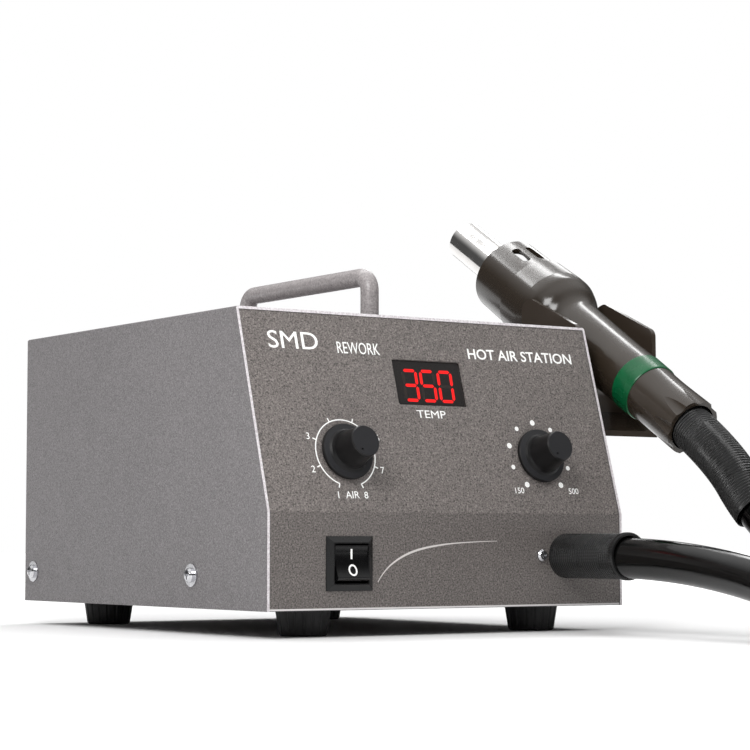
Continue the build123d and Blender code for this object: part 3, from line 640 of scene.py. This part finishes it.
def ink_finish(name="printed_ink", colour=(236, 236, 234)):
    finish = Finish(name, srgb(*colour), 0.5).tint(0.03, 3).grain(0.3, 0.006)
    finish.shader.inputs["Emission Color"].default_value = srgb(*colour)
    finish.shader.inputs["Emission Strength"].default_value = INK_GLOW
    return finish


def label(name, text, middle, height, finish, width=None, bold=0.0):
    """A word printed on the sloped panel, by its middle and the height of its capitals."""
    curve = bpy.data.curves.new(name, "FONT")
    curve.body = text
    curve.resolution_u = 4
    curve.offset = bold
    source = bpy.data.objects.new(name + "_source", curve)
    bpy.context.scene.collection.objects.link(source)
    bpy.context.view_layer.update()
    flat = bpy.data.meshes.new_from_object(source)
    bpy.data.objects.remove(source)
    low = [min(v.co[k] for v in flat.vertices) for k in (0, 1)]
    high = [max(v.co[k] for v in flat.vertices) for k in (0, 1)]
    tall = height / (high[1] - low[1])
    wide = width / (high[0] - low[0]) if width else tall
    count = len(flat.vertices)
    points = []
    for level in (0.0, INK):
        for v in flat.vertices:
            x = middle[0] + (v.co.x - (low[0] + high[0]) / 2) * wide
            y = middle[1] + (v.co.y - (low[1] + high[1]) / 2) * tall
            points.append(SLOPE @ Vector((x, y, level)))
    faces = []
    edges = {}
    for polygon in flat.polygons:
        ring = list(polygon.vertices)
        faces.append([count + k for k in ring])
        faces.append(ring[::-1])
        for a, b in zip(ring, ring[1:] + ring[:1]):
            edges[(a, b)] = True
    for a, b in edges:
        if (b, a) not in edges:
            faces.append([a, b, count + b, count + a])
    bpy.data.meshes.remove(flat)
    return add_mesh(name, points, faces, finish, "case")


AIR_SCALE_R = 14.8
AIR_SCALE_END = 158.5
AIR_STEPS = 8
AIR_LINE_W = 0.27  # half the width of the scale's lines
AIR_TICK = (0.1, 1.9)  # a tick's two ends, out from the ring
AIR_NUMBER_REACH = 4.2
AIR_END_DROP = 18.7  # the first and last numbers are this far below the knob's middle
AIR_RING_COUNT = 72
AIR_NUMBERS = {0: "1", 1: "2", 2: "3", 5: "6", 6: "7", 7: "8"}
TEMP_SCALE_R = 16.2
TEMP_SCALE_END = 144.0
TEMP_DOTS = 9
TEMP_DOT_R = (1.3, 1.07)  # by turns
TEMP_END_DROP = 15.9


def air_scale(ink):
    """The ring round the air knob, with a tick and mostly a number at each step."""
    share = 2 * AIR_SCALE_END / AIR_RING_COUNT
    turns = [-AIR_SCALE_END + share * k for k in range(AIR_RING_COUNT + 1)]
    ring = [polar(AIR_KNOB, AIR_SCALE_R, turn) for turn in turns]
    outlines = strips(band(ring, [AIR_LINE_W] * len(ring)))
    for k in range(AIR_STEPS):
        turn = -AIR_SCALE_END + 2 * AIR_SCALE_END * k / (AIR_STEPS - 1)
        ends = [polar(AIR_KNOB, AIR_SCALE_R + reach, turn) for reach in AIR_TICK]
        outlines.append(band(ends, [AIR_LINE_W, AIR_LINE_W]))
        if k in AIR_NUMBERS:
            middle = polar(AIR_KNOB, AIR_SCALE_R + AIR_NUMBER_REACH, turn)
            if k in (0, AIR_STEPS - 1):
                middle = (middle[0], AIR_KNOB[1] - AIR_END_DROP)
            label("air_number_" + AIR_NUMBERS[k], AIR_NUMBERS[k], middle, 3.0, ink)
    plates("air_scale", SLOPE, outlines, INK, ink, "case")
    label("air_word", "AIR", (AIR_KNOB[0] + 0.1, AIR_KNOB[1] - 18.6), 3.1, ink, 6.9)


def temp_scale(ink):
    """Dots round the temperature knob, by turns larger and smaller."""
    outlines = []
    for k in range(TEMP_DOTS):
        turn = -TEMP_SCALE_END + 2 * TEMP_SCALE_END * k / (TEMP_DOTS - 1)
        outlines.append(disc(polar(TEMP_KNOB, TEMP_SCALE_R, turn), TEMP_DOT_R[k % 2])[::-1])
    plates("temp_scale", SLOPE, outlines, INK, ink, "case")
    for name, text, across in (("temp_low", "150", -14.3), ("temp_high", "500", 16.1)):
        label(name, text, (TEMP_KNOB[0] + across, TEMP_KNOB[1] - TEMP_END_DROP), 2.7, ink)


ARC = [
    (-39.2, 11.6), (-36, 16.7), (-28.6, 21.8), (-20.7, 24.7), (-12.2, 26.7), (3.7, 28.5), (23.7, 28.9),
]
ARC_W = (0.06, 0.4)  # half the line's width at its ends, and what its middle adds


def front_arc(ink):
    """The thin curved line across the lower front, fading to a point at both ends."""
    curve = bpy.data.curves.new("arc", "CURVE")
    spline = curve.splines.new("NURBS")
    spline.points.add(len(ARC) - 1)
    for control, point in zip(spline.points, ARC):
        control.co = (*point, 0, 1)
    spline.order_u = 4
    spline.use_endpoint_u = True
    source = bpy.data.objects.new("arc", curve)
    bpy.context.scene.collection.objects.link(source)
    bpy.context.view_layer.update()
    mesh = bpy.data.meshes.new_from_object(source)
    middle = [tuple(v.co[:2]) for v in mesh.vertices]
    bpy.data.objects.remove(source)
    bpy.data.meshes.remove(mesh)
    last = len(middle) - 1
    swell = [sin(pi * (0.04 + 0.94 * k / last)) ** 0.8 for k in range(last + 1)]
    widths = [ARC_W[0] + ARC_W[1] * share for share in swell]
    outlines = strips(band(middle, widths))
    plates("front_arc", FRONT, outlines, INK, ink, "case")


def words(ink):
    """The panel's words, each with its middle, the height of its capitals and its width."""
    label("title", "HOT AIR STATION", (53.2, 74.7), 5.0, ink, 59.0, BOLD)
    label("short_title", "SMD", (-68.0, 76.6), 8.0, ink, 25.0)
    label("second_title", "REWORK", (-35.0, 74.4), 5.4, ink, 22.0)
    label("temp_word", "TEMP", (-2.2, 45.1), 3.5, ink, 15.4)


# ---- display -------------------------------------------------------------------------------------
DIGIT_W = 8.2
DIGIT_H = 15.2
DIGIT_PITCH = 9.4
DIGITS_AT = (-0.15, 58.8)
SEGMENT = 1.4
SEGMENT_GAP = 0.38
SEGMENT_THICK = 0.04
SEGMENT_LIFT = 0.01  # over the window's face
DIGIT_LEAN = 0.03
LIT_GLOW = 1.25
SEGMENTS = {"3": "abcdg", "5": "acdfg", "0": "abcdef"}


def segment_outline(name):
    """A six-sided bar of a seven-segment digit, about the digit's middle."""
    half = SEGMENT / 2
    w = DIGIT_W / 2 - half
    h = DIGIT_H / 2 - half
    ends = {
        "a": ((-w, h), (w, h)), "g": ((-w, 0), (w, 0)), "d": ((-w, -h), (w, -h)),
        "f": ((-w, 0), (-w, h)), "b": ((w, 0), (w, h)),
        "e": ((-w, -h), (-w, 0)), "c": ((w, -h), (w, 0)),
    }[name]
    start, end = (Vector(p) for p in ends)
    way = (end - start).normalized()
    side = Vector((-way.y, way.x)) * half
    start = start + way * SEGMENT_GAP
    end = end - way * SEGMENT_GAP
    inner_a = start + way * half
    inner_b = end - way * half
    outline = [start, inner_a - side, inner_b - side, end, inner_b + side, inner_a + side]
    return [(p.x + p.y * DIGIT_LEAN, p.y) for p in outline]


def digits():
    """Three digits of seven bars each, lit and dark, on the window."""
    lit = Finish("lit_segment", srgb(60, 0, 0), 0.4).tint(0.05, 2)
    lit.shader.inputs["Emission Color"].default_value = srgb(255, 28, 28)
    lit.shader.inputs["Emission Strength"].default_value = LIT_GLOW
    dark = Finish("dark_segment", srgb(50, 43, 41), 0.35).tint(0.05, 2)
    base = WINDOW_DEPTH + SEGMENT_LIFT
    for place, figure in enumerate("350"):
        middle = (DIGITS_AT[0] + (place - 1) * DIGIT_PITCH, DIGITS_AT[1])
        for name in "abcdefg":
            outline = [(x + middle[0], y + middle[1]) for x, y in segment_outline(name)]
            finish = lit if name in SEGMENTS[figure] else dark
            title = f"digit_{place + 1}_{name}"
            piece = plates(title, SLOPE, [outline], SEGMENT_THICK, finish, "case", base)


# ---- marks on the rocker -------------------------------------------------------------------------
ROCKER_LOW = 3.2  # the hollow face's height over the pivot, in its middle
ROCKER_END = (6.9, 4.4)  # and its far edge: how far up the face, and the height there
MARK_SINK = 0.02  # how far the marks go into the face
MARK_W = {"rocker_on": 0.42, "rocker_off": 0.38}  # half the width of each mark's line


def rocker_face(y):
    """Height of the rocker's hollow face over its pivot, at y millimetres from its middle."""
    rise = ROCKER_END[1] - ROCKER_LOW
    radius = (ROCKER_END[0] ** 2 + rise**2) / (2 * rise)
    return ROCKER_LOW + radius - (radius**2 - y * y) ** 0.5


def rocker_marks():
    """The line and the ring that say on and off, laid on the rocker's hollow face."""
    ink = ink_finish("rocker_ink")
    line = [(0.0, 1.3 + 4.2 * k / 8) for k in range(9)]
    turns = [2 * pi * k / 40 for k in range(41)]
    oval = [(1.8 * sin(turn), -3.4 + 2.15 * cos(turn)) for turn in turns]
    for name, middle in (("rocker_on", line), ("rocker_off", oval)):
        points = []
        faces = []
        for outline in strips(band(middle, [MARK_W[name]] * len(middle))):
            first = len(points)
            for lift in (-MARK_SINK, INK):
                points += [ROCKER @ Vector((x, y, rocker_face(y) + lift)) for x, y in outline]
            faces += [[first + 4 + k for k in range(4)], [first + k for k in (3, 2, 1, 0)]]
            for k in range(4):
                after = (k + 1) % 4
                faces.append([first + k, first + after, first + 4 + after, first + 4 + k])
        add_mesh(name, points, faces, ink, "rocker")


# ---- room and light ------------------------------------------------------------------------------
SKY = (0.35, 0.95, 0.1, 1.25)  # between these two heights, the light rises from dim to bright
FLOOR_GLOW = (0.25, 1.1, 0.0, 0.5)  # between these two distances, the floor's own light rises
FLOOR_HALF = 6.0
LAMPS = {  # place, target, width and height, all in metres, and power in watts
    "key": ((-0.62, -0.5, 0.55), (0, 0, 0.06), 0.35, 0.35, 4.2),
    "top": ((0.15, 0.4, 1.15), (0.05, 0, 0.05), 1.3, 0.11, 5.5),
    "rim": ((0.9, 1.0, 0.9), (0, 0, 0.1), 0.5, 0.5, 3),
}


def floor():
    """A white floor that looks white far from the object too."""
    finish = Finish("studio_floor", srgb(250, 250, 250), 0.6)
    reach = finish.add("ShaderNodeVectorMath", operation="LENGTH")
    finish.wire(finish.coords.outputs["Object"], reach.inputs[0])
    glow = finish.mapped(reach.outputs["Value"], *FLOOR_GLOW)
    finish.wire(glow, finish.shader.inputs["Emission Strength"])
    finish.shader.inputs["Emission Color"].default_value = (1, 1, 1, 1)
    corners = [(x * FLOOR_HALF, y * FLOOR_HALF, 0) for x, y in ((-1, -1), (1, -1), (1, 1), (-1, 1))]
    add_mesh("floor", corners, [[0, 1, 2, 3]], finish)


def sky():
    """A sky that is dim at the horizon and bright overhead, but looks white to the camera."""
    world = bpy.data.worlds.new("studio")
    world.use_nodes = True
    tree = world.node_tree
    coords = tree.nodes.new("ShaderNodeTexCoord")
    split = tree.nodes.new("ShaderNodeSeparateXYZ")
    rise = tree.nodes.new("ShaderNodeMapRange")
    path = tree.nodes.new("ShaderNodeLightPath")
    seen = tree.nodes.new("ShaderNodeMath")
    seen.operation = "MAXIMUM"
    rise.interpolation_type = "SMOOTHSTEP"
    tree.links.new(coords.outputs["Generated"], split.inputs["Vector"])
    tree.links.new(split.outputs["Z"], rise.inputs["Value"])
    for name, number in zip(RANGE_SOCKETS, SKY):
        rise.inputs[name].default_value = number
    tree.links.new(rise.outputs["Result"], seen.inputs[0])
    tree.links.new(path.outputs["Is Camera Ray"], seen.inputs[1])
    tree.links.new(seen.outputs[0], tree.nodes["Background"].inputs["Strength"])
    tree.nodes["Background"].inputs["Color"].default_value = (1, 1, 1, 1)
    bpy.context.scene.world = world
    bpy.context.scene.view_settings.view_transform = "Standard"


def light(name, place, target, width, height, power):
    """A rectangular lamp at place that shines at target."""
    lamp = bpy.data.lights.new(name, "AREA")
    lamp.shape = "RECTANGLE"
    lamp.size = width
    lamp.size_y = height
    lamp.energy = power
    piece = bpy.data.objects.new(name, lamp)
    bpy.context.scene.collection.objects.link(piece)
    piece.location = place
    piece.rotation_euler = (Vector(target) - Vector(place)).to_track_quat("-Z", "Y").to_euler()


add_camera()
hose()
case_finishes()
control_finishes()
small_metal_finishes()
foot_finish()
inside_finishes()
handset_finishes()
printed_ink = ink_finish()
air_scale(printed_ink)
temp_scale(printed_ink)
front_arc(ink_finish("silver_ink", (190, 185, 183)))
words(printed_ink)
digits()
rocker_marks()
floor()
sky()
for lamp_name, lamp_values in LAMPS.items():
    light(lamp_name, *lamp_values)
